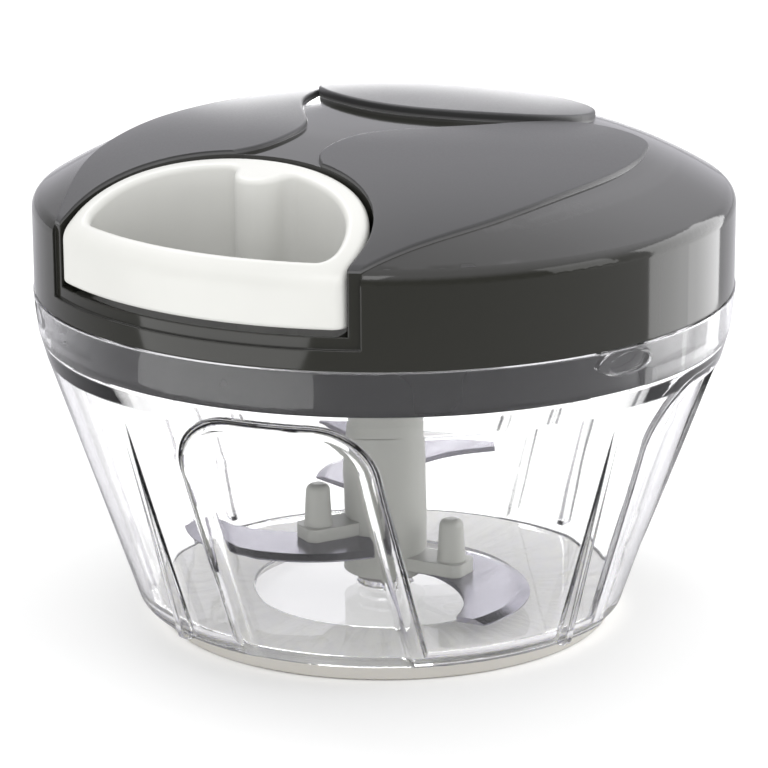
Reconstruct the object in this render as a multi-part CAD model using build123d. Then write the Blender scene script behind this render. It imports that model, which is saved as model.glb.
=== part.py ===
# Hand chopper with a pull cord: clear bowl, grey domed lid, grip on a cord, three curved blades.
# Millimetres, +Z up. The origin is the middle of the resting face; the grip is pulled along -Y.
# A bearing is an angle in degrees about Z, from -Y (the grip) towards +X.

import os
from math import acos, atan2, cos, degrees, hypot, radians, sin, sqrt

from build123d import *

# The lid's radius, which the rim of the bowl, the skirt and the grip follow
LID_RADIUS = 65.0

# Bowl
BOWL_WALL = 2.0
RIM_STEP = 0.2
RIM_RADIUS = LID_RADIUS + RIM_STEP
RIM_WALL = 2.5
RIM_BORE = RIM_RADIUS - RIM_WALL
RIM_TOP = 64.0
RIM_FLARE_DEPTH = 7.0
RIM_FLARE_HEIGHT = RIM_TOP - RIM_FLARE_DEPTH
RIM_FLARE_STEP = 0.7
RIM_FLARE_RADIUS = RIM_RADIUS - RIM_FLARE_STEP
RIM_DEPTH = 12.0
WALL_TOP_HEIGHT = RIM_TOP - RIM_DEPTH
WALL_TOP_STEP = 2.1
WALL_TOP_RADIUS = RIM_RADIUS - WALL_TOP_STEP
BASE_RADIUS = 46.6
BASE_CORNER = 2.5
FLOOR_TOP = 5.2
FLOOR_CORNER = 4.0
CENTRE_DISC_HEIGHT = 1.4

# Pressed panels and outer ribs of the bowl
PANEL_COUNT = 4
PANEL_BEARING = 18.5
PANEL_TOP_HALF = 17.2
PANEL_BOTTOM_HALF = 15.7
PANEL_TOP_STEP = 0.5
PANEL_TOP = WALL_TOP_HEIGHT - PANEL_TOP_STEP
PANEL_LEAN_SHARE = 0.144
PANEL_MIDDLE_HEIGHT = 19.0
PANEL_DEPTH = 1.7
PANEL_EDGE_ROUND = 2.0
PANEL_CORNER = 9.0
RIB_BEARING = 75.8
RIB_TOP_STEP = 3.0
RIB_TOP = WALL_TOP_HEIGHT - RIB_TOP_STEP
RIB_BOTTOM = 4.6
RIB_DEPTH = 2.6
RIB_THICKNESS = 1.6

# Lugs of the bowl rim, which hold the lid
LUG_COUNT = 3
LUG_BEARING = 75.8
LUG_DROP = 2.8
LUG_HEIGHT = RIM_TOP - LUG_DROP
LUG_LENGTH = 12.0
LUG_TALL = 4.6
LUG_DEPTH = 1.7
LUG_DIMPLE_DEPTH = 0.6
LUG_DIMPLE_SHARE = 0.86
LOCK_ANGLE = 17.0
LUG_SIDE_ANGLE = 1.0
LUG_FACE_CLEARANCE = 0.35

# Post in the middle of the bowl, on which the blade shaft stands
POST_RADIUS = 2.6
POST_TOP = 38.0
POST_TIP_ROUND = 1.2
POST_FOOT_RADIUS = 5.2
POST_FOOT_RISE = 2.6
POST_FOOT_TOP = FLOOR_TOP + POST_FOOT_RISE

# Non-slip ring under the bowl
RING_WIDTH = 21.0
RING_INNER = BASE_RADIUS - RING_WIDTH
RING_SEAT = 3.4
RING_EDGE_STEP = 2.6
RING_SEAT_RADIUS = BASE_RADIUS - RING_EDGE_STEP
RING_TAPER = 1.6
RING_FOOT_RADIUS = RING_SEAT_RADIUS - RING_TAPER
RING_EDGE_ROUND = 0.8
RING_SIDE_CLEARANCE = 0.2

# Lid cover
LID_WALL = 2.2
LID_GAP = 0.3
LID_EDGE = RIM_TOP + LID_GAP
LID_SIDE = 16.7
SHOULDER_HEIGHT = LID_EDGE + LID_SIDE
SHOULDER_ROUND = 3.0
DOME_RISE = 13.6
APEX = SHOULDER_HEIGHT + DOME_RISE
DOME_RADIUS_SHARES = (0.0, 0.31, 0.62, 0.85, 1.0)
DOME_DROP_SHARES = (0.0, 0.026, 0.24, 0.61, 1.0)
DOME_EDGE_SLOPE_SHARE = 0.62
LID_TOP_WALL = 2.0

# Leaf pads on the lid: each corner as a share of the lid's radius and a bearing
SIDE_PAD_RISE = 0.9
BACK_PAD_RISE = 1.8
PAD_ROUND = 0.5
LEAF_OUTER_SHARES = ((1.03, 28), (0.91, 40), (0.84, 54), (0.775, 72), (0.75, 91), (0.745, 114))
LEAF_TIP_SHARES = ((0.745, 114), (0.735, 126), (0.65, 129))
LEAF_INNER_SHARES = ((0.65, 129), (0.32, 100), (0.22, 58), (0.27, 21), (0.36, 13), (0.48, 13), (0.58, 19))
LEAF_TIP_END_BEARING = 308
LEAF_INNER_END_BEARING = 42
BACK_LEAF_MIDDLE_SHARE = 0.375
BACK_LEAF_HALF_SHARES = (0.43, 0.33)

# Recess for the grip, with a shallow step round it on the lid's side
GRIP_GAP = 0.7
RECESS_WALL = 1.6
RECESS_FLOOR_RISE = 5.9
RECESS_FLOOR = LID_EDGE + RECESS_FLOOR_RISE
FRAME_STEP = 2.2
FRAME_DEPTH = 0.6

# Grip: its plan follows the lid's radius
GRIP_HALF_SHARE = 0.468
GRIP_BACK_SHARE = 0.311
GRIP_FRONT_SHARE = 0.1815
GRIP_HALF_WIDTH = LID_RADIUS * GRIP_HALF_SHARE
GRIP_BACK_DEPTH = LID_RADIUS * GRIP_BACK_SHARE
GRIP_FACE_STEP = 0.2
GRIP_FACE_RADIUS = LID_RADIUS - GRIP_FACE_STEP
GRIP_MIDDLE = GRIP_FACE_RADIUS - LID_RADIUS * GRIP_FRONT_SHARE
GRIP_FLOOR_GAP = 1.2
GRIP_BOTTOM = RECESS_FLOOR + GRIP_FLOOR_GAP
GRIP_FACE_RISE = 6.4
GRIP_FACE_TOP = GRIP_BOTTOM + GRIP_FACE_RISE
GRIP_TOP_STEP = 3.2
GRIP_TOP_RADIUS = GRIP_FACE_RADIUS - GRIP_TOP_STEP
GRIP_TOP_RISE = 5.0
GRIP_CROWN_SHARE = 0.48
GRIP_TOP = GRIP_FACE_TOP + GRIP_TOP_RISE
GRIP_CORNER = 3.0
GRIP_WALL = 4.2
GRIP_HOLE_CORNER = 3.5
GRIP_EDGE_ROUND = 0.8
GRIP_LIP_ROUND = 1.2
BOSS_RADIUS = 5.2
BOSS_SETBACK = 4.6
BOSS_MIDDLE = GRIP_MIDDLE - GRIP_BACK_DEPTH + BOSS_SETBACK
BOSS_BLEND = 2.5

# Cover plate under the lid, which carries the drive hub
COVER_PLATE = 1.9
COVER_PLATE_DEPTH = 2.8
COVER_PLATE_BOTTOM = RIM_TOP - COVER_PLATE_DEPTH
SKIRT_CLEARANCE = 0.35
SKIRT_RADIUS = RIM_BORE - SKIRT_CLEARANCE
SKIRT_WALL = 3.4
SKIRT_DEPTH = 5.5
SKIRT_BOTTOM = COVER_PLATE_BOTTOM - SKIRT_DEPTH
SKIRT_EDGE_ROUND = 0.8
COVER_LIP_RISE = 2.5
COVER_LIP_TOP = RIM_TOP + COVER_LIP_RISE
COVER_LIP_WALL = 1.6
COVER_LIP_CLEARANCE = 0.15
COVER_RIB_COUNT = 12
COVER_RIB_THICKNESS = 1.4
COVER_RIB_DEPTH = 2.4

# Pawls and the ratchet of the drive hub
HUB_PLATE_GAP = 0.2
HUB_PLATE_BOTTOM = COVER_PLATE_BOTTOM + COVER_PLATE + HUB_PLATE_GAP
HUB_PLATE = 1.6
HUB_HEIGHT = 8.3
HUB_RING_TOP = HUB_PLATE_BOTTOM + HUB_HEIGHT
HUB_RING_WALL = 2.3
RATCHET_TEETH = 12
RATCHET_LAND_SHARE = 0.2
PAWL_COUNT = 2
PAWL_PIVOT_RADIUS = 14.6
PAWL_REACH = 3.8
RATCHET_DEPTH = 1.8
RATCHET_TIP_RADIUS = PAWL_PIVOT_RADIUS + PAWL_REACH
RATCHET_ROOT_RADIUS = RATCHET_TIP_RADIUS + RATCHET_DEPTH
HUB_RADIUS = RATCHET_ROOT_RADIUS + HUB_RING_WALL
PAWL_EYE_RADIUS = 2.9
PAWL_PIN_RADIUS = 1.4
PAWL_PLATE_GAP = 1.3
PAWL_TIP_CLEARANCE = 0.4
PAWL_TIP_WIDTH = 1.8
PAWL_SPAN_ANGLE = 38.0
PAWL_SHOULDER_SHARE = 0.72
PAWL_HEEL_SHARE = 0.3
PAWL_HEEL_DEPTH_SHARE = 0.6
PAWL_PIN_HEAD_RADIUS = 2.3
PAWL_PIN_HEAD = 0.6

# Reel
REEL_HUB_GAP = 0.4
REEL_BOTTOM = HUB_RING_TOP + REEL_HUB_GAP
REEL_PLATE = 1.5
REEL_FLANGE_SHARE = 0.37
REEL_FLANGE_RADIUS = LID_RADIUS * REEL_FLANGE_SHARE
REEL_HEIGHT = 12.6
REEL_TOP = REEL_BOTTOM + REEL_HEIGHT
REEL_TOP_FLANGE = 1.4
DRUM_RADIUS = 17.4
DRUM_WALL = 2.0
CAP_THICKNESS = 1.3
CAP_LEDGE = 0.8
CAP_CLEARANCE = 0.06
CAP_VENT_COUNT = 6
CAP_VENT_RADIUS = 1.5

# Heights of the pawls between hub and reel
PAWL_REEL_GAP = 0.5
PAWL_TOP = REEL_BOTTOM - PAWL_REEL_GAP
PAWL_BOTTOM = HUB_PLATE_BOTTOM + HUB_PLATE + PAWL_PLATE_GAP

# Cord and its fittings
CORD_DIAMETER = 2.0
CORD_DROP = 2.8
CORD_HEIGHT = REEL_TOP - CORD_DROP
CORD_BORE_CLEARANCE = 0.4
CORD_BEND_DIAMETERS = 3.0
CORD_GAP = 0.3
WINDING_GAP = 0.05
CORD_TURNS = 3.25
TURN_PITCH = 2.15
STOP_RADIUS = 2.0
STOP_LENGTH = 3.2
STOP_POCKET_CLEARANCE = 0.1
GUIDE_FLANGE_RADIUS = 4.0
GUIDE_FLANGE_THICKNESS = 0.7
GUIDE_BODY_RADIUS = 3.0
GUIDE_FUNNEL_RADIUS = 3.4

# Post of the lid and what holds the reel on it
LID_POST_RADIUS = 4.5
LID_POST_ROOT_RADIUS = 6.5
RUNNING_CLEARANCE = 0.06
REEL_END_PLAY = 0.15
WASHER_RADIUS = 7.5
WASHER_THICKNESS = 0.8
REEL_SCREW_HEAD_RADIUS = 3.6
REEL_SCREW_HEAD = 2.0
REEL_SCREW_RADIUS = 1.5
REEL_SCREW_LENGTH = 14.0
DRIVE_RECESS_RADIUS = 1.9
DRIVE_RECESS_DEPTH = 1.2
DRIVE_ARM_THICKNESS = 0.8

# Flat spiral spring
SPRING_STRIP = 0.4
SPRING_WIDTH = 7.0
SPRING_HALF_TURNS = 13
SPRING_TAB = 1.4
SPRING_SLOT_CLEARANCE = 0.15
SPRING_END_GAP = 0.5

# Drive hub socket, its bearing and clip
STEM_RADIUS = 9.0
STEM_LENGTH = 7.4
STEM_BOTTOM = HUB_PLATE_BOTTOM - STEM_LENGTH
SOCKET_FLATS = 9.0
SOCKET_CLEARANCE = 0.12
SOCKET_ROOF = 1.0
SOCKET_TOP = HUB_PLATE_BOTTOM + HUB_PLATE - SOCKET_ROOF
CLIP_LAND = 0.6
CLIP_GROOVE_BOTTOM = STEM_BOTTOM + CLIP_LAND
CLIP_THICKNESS = 0.7
CLIP_GROOVE_DEPTH = 0.9
CLIP_RADIUS = 11.2
CLIP_OPENING_ANGLE = 60.0
CLIP_BEARING_GAP = 0.15
BEARING_BOTTOM = CLIP_GROOVE_BOTTOM + CLIP_THICKNESS + CLIP_BEARING_GAP
BEARING_RADIUS = 12.0

# Seal ring
SEAL_THICKNESS = 1.1
SEAL_INSET = 0.3
SEAL_INNER = RIM_BORE + SEAL_INSET
SEAL_WIDTH = 1.15
SEAL_OUTER = SEAL_INNER + SEAL_WIDTH
SEAL_CHANNEL_CLEARANCE = 0.1

# Screws that hold the cover plate to the lid cover
COVER_SCREW_BEARINGS = (60.0, 125.0, 235.0, 300.0)
COVER_SCREW_CIRCLE_SHARE = 0.7077
COVER_SCREW_CIRCLE = LID_RADIUS * COVER_SCREW_CIRCLE_SHARE
COVER_SCREW_RADIUS = 1.4
COVER_SCREW_LENGTH = 12.0
COVER_SCREW_HEAD_RADIUS = 2.9
COVER_SCREW_HEAD = 1.8
SCREW_POST_RADIUS = 4.0

# Blade shaft, its arms and pegs
SHAFT_FOOT_GAP = 0.1
SHAFT_BOTTOM = POST_FOOT_TOP + SHAFT_FOOT_GAP
SHAFT_FOOT_RADIUS = 8.0
SHAFT_COLLAR_RADIUS = 7.4
SHAFT_COLLAR_HEIGHT = 35.0
SHAFT_NECK_RADIUS = 6.9
SHAFT_NECK_GAP = 0.3
SHAFT_NECK_TOP = STEM_BOTTOM - SHAFT_NECK_GAP
SHAFT_BORE_CLEARANCE = 0.05
SHAFT_BORE_SPARE = 2.0
SHAFT_BORE_TOP = POST_TOP + SHAFT_BORE_SPARE
HEX_END_GAP = 0.4
HEX_TOP = SOCKET_TOP - HEX_END_GAP
ARM_BEARINGS = (93.0, -27.0, -147.0)
ARM_THICKNESS = 2.5
ARM_WIDTH = 7.0
ARM_LENGTH = 17.8
ARM_STEP = 6.9
PEG_CIRCLE = 14.4
PEG_FOOT_RADIUS = 2.7
PEG_TIP_RADIUS = 2.2
PEG_HEIGHT = 8.0
PEG_TIP_ROUND = 1.4

# Blades: corners as shares of the reach, across the arm and out along it
BLADE_THICKNESS = 1.0
BLADE_REACH = 39.0
ROOT_BACK_SHARES = (-0.04, 0.10)
HOLLOW_START_SHARES = (-0.03, 0.25)
HOLLOW_MIDDLE_SHARES = (-0.20, 0.53)
TIP_INNER_SHARES = (-0.54, 0.71)
TIP_SHARES = (-0.53, 0.85)
EDGE_MIDDLE_SHARES = (0.15, 0.69)
EDGE_START_SHARES = (0.35, 0.26)
ROOT_FRONT_SHARES = (0.18, 0.07)
BLADE_FLOOR_GAP = 3.0
LOW_BLADE_BOTTOM = FLOOR_TOP + BLADE_FLOOR_GAP
BLADE_RIVET_RADIUS = 1.7
BLADE_RIVET_CLEARANCE = 0.04
BLADE_ROOT_CLEARANCE = 0.05
BEVEL_WIDTH = 2.0
BEVEL_HEIGHT = 0.7

OVERRUN = 1.0

# How near two lengths must be to count as the same
MATCH = 0.03


def polar(radius, bearing, height=0.0):
    """The point at a radius and a bearing."""
    return (radius * sin(radians(bearing)), -radius * cos(radians(bearing)), height)


def facing(bearing, distance, height=0.0):
    """A plane that looks outwards along a bearing, with its own X to the right of the viewer."""
    outwards = Vector(*polar(1, bearing))
    along = Vector(*polar(1, bearing + 90))
    return Plane(origin=polar(distance, bearing, height), x_dir=along, z_dir=outwards)


def spun(solid, bearing):
    """Turns a solid that was drawn at bearing zero."""
    return Rot(0, 0, bearing) * solid


def around(solid, count, first=0.0):
    """Copies a solid that was drawn at bearing zero evenly round the Z axis."""
    copies = [spun(solid, first + 360 * step / count) for step in range(count)]
    return sum(copies[1:], copies[0])


def outline(*corners):
    """A flat face with straight sides."""
    return Sketch() + make_face(Polyline(*corners, close=True))


def softened(face, corner, radius):
    """Rounds the corner of a flat face that lies nearest to a point."""
    nearest = face.vertices().sort_by_distance(corner)[0]
    return fillet(nearest, radius)


def turned(face):
    """A body of revolution about Z, from a face drawn as (radius, height)."""
    return revolve(Plane.XZ * face, Axis.Z)


def pipe(inner, outer, bottom, top):
    """A plain ring or, where the inner radius is zero, a disc."""
    ring = Circle(outer)
    if inner > 0:
        ring -= Circle(inner)
    return Pos(0, 0, bottom) * extrude(ring, top - bottom)


def arc_block(inner, outer, bottom, top, start, sweep):
    """Part of a ring between two bearings."""
    section = outline((inner, bottom), (outer, bottom), (outer, top), (inner, top))
    block = revolve(Plane.XZ * section, Axis.Z, sweep)
    return Rot(0, 0, start - 90) * block


def wall_radius(height):
    """Outer radius of the bowl's tapered wall."""
    share = (height - RING_SEAT) / (WALL_TOP_HEIGHT - RING_SEAT)
    return BASE_RADIUS + share * (WALL_TOP_RADIUS - BASE_RADIUS)


def dome_curve(offset=0.0):
    """The dome from the apex to the lid's side, as a curve in (radius, height)."""
    drop = APEX - SHOULDER_HEIGHT
    points = []
    for radius_share, drop_share in zip(DOME_RADIUS_SHARES, DOME_DROP_SHARES):
        points.append((LID_RADIUS * radius_share, APEX + offset - drop * drop_share))
    return Spline(*points, tangents=((1, 0), (1, -DOME_EDGE_SLOPE_SHARE)))


def dome_body(radius, bottom, offset=0.0):
    """Everything under the dome, down to a height, inside a radius."""
    curve = dome_curve(offset)
    end = curve @ 1
    lines = Polyline(end, (end.X, bottom), (0, bottom), (0, APEX + offset))
    body = turned(Sketch() + make_face(curve + lines))
    return body & pipe(0, radius, bottom, APEX + BACK_PAD_RISE + OVERRUN)


# Bowl

def panel_prism(wider, top, corner):
    """A leaning block with round upper corners that marks one panel of the wall."""
    bottom = -OVERRUN
    top_half = PANEL_TOP_HALF + wider
    bottom_half = PANEL_BOTTOM_HALF + wider
    top_shift = -PANEL_LEAN_SHARE * (top - PANEL_MIDDLE_HEIGHT)
    bottom_shift = PANEL_LEAN_SHARE * (PANEL_MIDDLE_HEIGHT - bottom)
    face = outline(
        (bottom_shift - bottom_half, bottom),
        (bottom_shift + bottom_half, bottom),
        (top_shift + top_half, top),
        (top_shift - top_half, top),
    )
    face = softened(face, (top_shift - top_half, top), corner)
    face = softened(face, (top_shift + top_half, top), corner)
    return extrude(facing(PANEL_BEARING, RING_INNER) * face, RIM_RADIUS)


def wall_band(depth):
    """All that lies outside a cone which runs inside the wall's outer face by a depth."""
    top = WALL_TOP_HEIGHT + PANEL_DEPTH
    far = RIM_RADIUS + RIM_RADIUS
    bottom = -OVERRUN
    section = outline(
        (wall_radius(bottom) - depth, bottom),
        (far, bottom),
        (far, top),
        (wall_radius(top) - depth, top),
    )
    return turned(section)


def pressed_panel(wider, depth):
    """What one panel takes off the wall down to a depth, with a soft inner edge."""
    panel = panel_prism(wider, PANEL_TOP + wider, PANEL_CORNER + wider) & wall_band(depth)
    inner_edges = [edge for edge in panel.edges() if lies_at_depth(edge, depth)]
    return fillet(inner_edges, PANEL_EDGE_ROUND)


def lies_at_depth(edge, depth):
    """True where all of an edge runs along the wall, at one depth under its outer face."""
    for share in (0.0, 0.5, 1.0):
        point = edge @ share
        if abs(hypot(point.X, point.Y) - wall_radius(point.Z) + depth) > MATCH:
            return False
    return True


def bowl_outside():
    face = outline(
        (0, CENTRE_DISC_HEIGHT),
        (RING_INNER - RING_SIDE_CLEARANCE, CENTRE_DISC_HEIGHT),
        (RING_INNER - RING_SIDE_CLEARANCE, RING_SEAT),
        (BASE_RADIUS, RING_SEAT),
        (WALL_TOP_RADIUS, WALL_TOP_HEIGHT),
        (RIM_FLARE_RADIUS, RIM_FLARE_HEIGHT),
        (RIM_RADIUS, RIM_TOP),
        (0, RIM_TOP),
    )
    face = softened(face, (BASE_RADIUS, RING_SEAT), BASE_CORNER)
    body = turned(face)
    return body - around(pressed_panel(0, PANEL_DEPTH), PANEL_COUNT)


def bowl_inside():
    skirt_room = SKIRT_BOTTOM - LUG_FACE_CLEARANCE
    floor_radius = wall_radius(FLOOR_TOP) - BOWL_WALL
    face = outline(
        (0, FLOOR_TOP),
        (floor_radius, FLOOR_TOP),
        (WALL_TOP_RADIUS - BOWL_WALL, WALL_TOP_HEIGHT),
        (RIM_BORE, skirt_room),
        (RIM_BORE, RIM_TOP),
        (0, RIM_TOP),
    )
    face = softened(face, (floor_radius, FLOOR_TOP), FLOOR_CORNER)
    body = turned(face)
    return body - around(pressed_panel(BOWL_WALL, PANEL_DEPTH + BOWL_WALL), PANEL_COUNT)


def lug(length, tall, near, far):
    """An oval block on the rim, between two distances from the axis."""
    oval = Ellipse(length / 2, tall / 2)
    return extrude(facing(0, near, LUG_HEIGHT) * oval, far - near)


def bowl_rib():
    """A thin outer rib that deepens towards the base."""
    height = RIB_TOP - RIB_BOTTOM
    inner = BOWL_WALL / 2
    face = outline(
        (wall_radius(RIB_TOP) - inner, RIB_TOP),
        (wall_radius(RIB_TOP), RIB_TOP),
        (wall_radius(RIB_BOTTOM) + RIB_DEPTH, RIB_BOTTOM),
        (wall_radius(RIB_BOTTOM) - inner, RIB_BOTTOM),
    )
    face = softened(face, (wall_radius(RIB_BOTTOM) + RIB_DEPTH, RIB_BOTTOM), RIB_DEPTH / 2)
    rib = extrude(Plane.XZ * face, RIB_THICKNESS / 2, both=True)
    return Rot(0, 0, -90) * rib


def bowl():
    body = bowl_outside() - bowl_inside()
    lug_face = RIM_BORE - LUG_DEPTH
    body += around(lug(LUG_LENGTH, LUG_TALL, lug_face, RIM_BORE + LUG_FACE_CLEARANCE), LUG_COUNT, LUG_BEARING)
    dimple_length = LUG_LENGTH * LUG_DIMPLE_SHARE
    dimple_tall = LUG_TALL * LUG_DIMPLE_SHARE
    dimple = lug(dimple_length, dimple_tall, RIM_RADIUS - LUG_DIMPLE_DEPTH, RIM_RADIUS + OVERRUN)
    body -= around(dimple, LUG_COUNT, LUG_BEARING)
    body += around(bowl_rib(), PANEL_COUNT, RIB_BEARING)
    body += pipe(0, POST_FOOT_RADIUS, FLOOR_TOP, POST_FOOT_TOP)
    post = pipe(0, POST_RADIUS, POST_FOOT_TOP, POST_TOP)
    body += fillet(post.edges().group_by(Axis.Z)[-1], POST_TIP_ROUND)
    return body


def base_ring():
    face = outline(
        (RING_INNER, 0),
        (RING_FOOT_RADIUS, 0),
        (RING_SEAT_RADIUS, RING_SEAT),
        (RING_INNER, RING_SEAT),
    )
    face = softened(face, (RING_FOOT_RADIUS, 0), RING_EDGE_ROUND)
    face = softened(face, (RING_INNER, 0), RING_EDGE_ROUND)
    return turned(face)


# Lid cover

def grip_plan(grow):
    """Plan of the grip, grown by a gap: half an ellipse behind, straight sides in front."""
    half = GRIP_HALF_WIDTH + grow
    front_length = LID_RADIUS + OVERRUN - GRIP_MIDDLE
    back = Pos(0, -GRIP_MIDDLE) * Ellipse(half, GRIP_BACK_DEPTH + grow)
    front = Pos(0, -GRIP_MIDDLE - front_length / 2) * Rectangle(half + half, front_length)
    behind = Pos(0, -GRIP_MIDDLE + LID_RADIUS / 2) * Rectangle(LID_RADIUS + LID_RADIUS, LID_RADIUS)
    return (back & behind) + front


def lid_points(shares):
    """Plan points on the lid from shares of its radius and bearings."""
    return [polar(LID_RADIUS * share, bearing) for share, bearing in shares]


def side_pad_plan():
    """Leaf on the right of the grip: it leaves the shoulder, sweeps round and comes back."""
    outer_side = Spline(*lid_points(LEAF_OUTER_SHARES))
    tip_end = Vector(*polar(1, LEAF_TIP_END_BEARING))
    tip = Spline(*lid_points(LEAF_TIP_SHARES), tangents=(outer_side % 1, tip_end))
    inner_end = Vector(*polar(1, LEAF_INNER_END_BEARING))
    inner_side = Spline(*lid_points(LEAF_INNER_SHARES), tangents=(tip % 1, inner_end))
    closing = Line(inner_side @ 1, outer_side @ 0)
    return Sketch() + make_face(outer_side + tip + inner_side + closing)


def back_pad_plan():
    """Oval leaf behind the middle of the lid."""
    half_across, half_along = (LID_RADIUS * share for share in BACK_LEAF_HALF_SHARES)
    return Pos(0, LID_RADIUS * BACK_LEAF_MIDDLE_SHARE) * Ellipse(half_across, half_along)


def lid_skin(rise):
    """The lid's outside with its round shoulder, raised by a small step."""
    body = dome_body(LID_RADIUS, LID_EDGE, rise)
    low = SHOULDER_HEIGHT - SHOULDER_ROUND
    high = SHOULDER_HEIGHT + SHOULDER_ROUND
    shoulder = body.edges().filter_by(GeomType.CIRCLE).filter_by_position(Axis.Z, low, high)
    return fillet(shoulder, SHOULDER_ROUND)


def lid_pads():
    """The three raised leaves, with soft upper edges."""
    right = side_pad_plan()
    pads = []
    for plan, rise in (
        (right, SIDE_PAD_RISE),
        (mirror(right, Plane.YZ), SIDE_PAD_RISE),
        (back_pad_plan(), BACK_PAD_RISE),
    ):
        pad = Pos(0, 0, SHOULDER_HEIGHT - LID_WALL) * extrude(plan, APEX) & lid_skin(rise)
        top = pad.faces().sort_by(Axis.Z)[-1]
        pads.append(fillet(top.edges(), PAD_ROUND))
    return pads


def lid_cover():
    outside = lid_skin(0)
    for pad in lid_pads():
        outside += pad

    bore = LID_RADIUS - LID_WALL
    cavity = dome_body(bore, LID_EDGE, -LID_TOP_WALL)
    wall_block = extrude(grip_plan(GRIP_GAP + RECESS_WALL), APEX)
    cavity -= Pos(0, 0, RECESS_FLOOR - RECESS_WALL) * wall_block
    cover_top = COVER_PLATE_BOTTOM + COVER_PLATE
    for bearing in COVER_SCREW_BEARINGS:
        post = pipe(0, SCREW_POST_RADIUS, cover_top, APEX)
        cavity -= Pos(*polar(COVER_SCREW_CIRCLE, bearing)) * post
    cavity -= pipe(0, LID_POST_RADIUS, post_end(), APEX)
    cavity -= pipe(0, LID_POST_ROOT_RADIUS, REEL_TOP + REEL_END_PLAY, APEX)
    body = outside - cavity

    seal_room = pipe(0, SEAL_OUTER + SEAL_CHANNEL_CLEARANCE, LID_EDGE - OVERRUN, RIM_TOP + SEAL_THICKNESS)
    seal_room -= pipe(0, bore - COVER_LIP_WALL, LID_EDGE - OVERRUN - OVERRUN, APEX)
    body -= seal_room
    recess = extrude(grip_plan(GRIP_GAP), APEX)
    body -= Pos(0, 0, RECESS_FLOOR) * recess
    frame = extrude(grip_plan(GRIP_GAP + FRAME_STEP) - Circle(LID_RADIUS - FRAME_DEPTH), APEX)
    body -= Pos(0, 0, RECESS_FLOOR - FRAME_STEP) * frame

    for bearing in COVER_SCREW_BEARINGS:
        pilot = pipe(0, COVER_SCREW_RADIUS, cover_top - OVERRUN, cover_top + COVER_SCREW_LENGTH)
        body -= Pos(*polar(COVER_SCREW_CIRCLE, bearing)) * pilot
    body -= pipe(0, REEL_SCREW_RADIUS, post_end() - OVERRUN, post_end() + REEL_SCREW_LENGTH)
    body -= spring_slot(LID_POST_RADIUS - SPRING_TAB, LID_POST_RADIUS + OVERRUN)
    guide_axis = Plane(origin=(0, -DRUM_RADIUS, CORD_HEIGHT), z_dir=(0, -1, 0))
    body -= extrude(guide_axis * Circle(GUIDE_BODY_RADIUS), DRUM_RADIUS)
    guide_seat = Plane(origin=(0, -guide_face(), CORD_HEIGHT), z_dir=(0, -1, 0))
    body -= extrude(guide_seat * Circle(GUIDE_FLANGE_RADIUS + STOP_POCKET_CLEARANCE), OVERRUN)
    return body


# Underside of the lid

def lug_path():
    """Room in the skirt for one lug: a slot from below and a level groove beside it."""
    half_lug = degrees(atan2(LUG_LENGTH / 2, RIM_BORE - LUG_DEPTH)) + LUG_SIDE_ANGLE
    depth_radius = RIM_BORE - LUG_DEPTH - LUG_FACE_CLEARANCE
    far = RIM_BORE + OVERRUN
    groove_bottom = LUG_HEIGHT - LUG_TALL / 2 - LUG_FACE_CLEARANCE
    groove_top = LUG_HEIGHT + LUG_TALL / 2 + LUG_FACE_CLEARANCE
    width = half_lug + half_lug
    groove = arc_block(depth_radius, far, groove_bottom, groove_top, -half_lug, LOCK_ANGLE + width)
    slot = arc_block(depth_radius, far, SKIRT_BOTTOM - OVERRUN, groove_top, -half_lug, width)
    return groove + slot


def mechanism_cover():
    plate_top = COVER_PLATE_BOTTOM + COVER_PLATE
    skirt_inner = SKIRT_RADIUS - SKIRT_WALL
    lip_outer = LID_RADIUS - LID_WALL - COVER_LIP_CLEARANCE
    face = outline(
        (BEARING_RADIUS, COVER_PLATE_BOTTOM),
        (skirt_inner, COVER_PLATE_BOTTOM),
        (skirt_inner, SKIRT_BOTTOM),
        (SKIRT_RADIUS, SKIRT_BOTTOM),
        (SKIRT_RADIUS, RIM_TOP + SEAL_THICKNESS),
        (lip_outer, RIM_TOP + SEAL_THICKNESS),
        (lip_outer, COVER_LIP_TOP),
        (lip_outer - COVER_LIP_WALL, COVER_LIP_TOP),
        (lip_outer - COVER_LIP_WALL, plate_top),
        (STEM_RADIUS + RUNNING_CLEARANCE, plate_top),
        (STEM_RADIUS + RUNNING_CLEARANCE, BEARING_BOTTOM),
        (BEARING_RADIUS, BEARING_BOTTOM),
    )
    face = softened(face, (SKIRT_RADIUS, SKIRT_BOTTOM), SKIRT_EDGE_ROUND)
    face = softened(face, (skirt_inner, SKIRT_BOTTOM), SKIRT_EDGE_ROUND)
    body = turned(face)
    rib_length = skirt_inner - BEARING_RADIUS
    rib = Pos(0, -BEARING_RADIUS - rib_length / 2, COVER_PLATE_BOTTOM - COVER_RIB_DEPTH / 2)
    rib *= Box(COVER_RIB_THICKNESS, rib_length + OVERRUN, COVER_RIB_DEPTH)
    body += around(rib, COVER_RIB_COUNT, 180 / COVER_RIB_COUNT)
    body -= around(lug_path(), LUG_COUNT, LUG_BEARING)
    for bearing in COVER_SCREW_BEARINGS:
        place = Pos(*polar(COVER_SCREW_CIRCLE, bearing))
        head_room = COVER_SCREW_HEAD_RADIUS + COVER_SCREW_RADIUS
        body -= place * pipe(0, head_room, SKIRT_BOTTOM, COVER_PLATE_BOTTOM)
        body -= place * pipe(0, COVER_SCREW_RADIUS, SKIRT_BOTTOM, plate_top + OVERRUN)
    return body


def rim_gasket():
    return pipe(SEAL_INNER, SEAL_OUTER, RIM_TOP, RIM_TOP + SEAL_THICKNESS)


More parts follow.
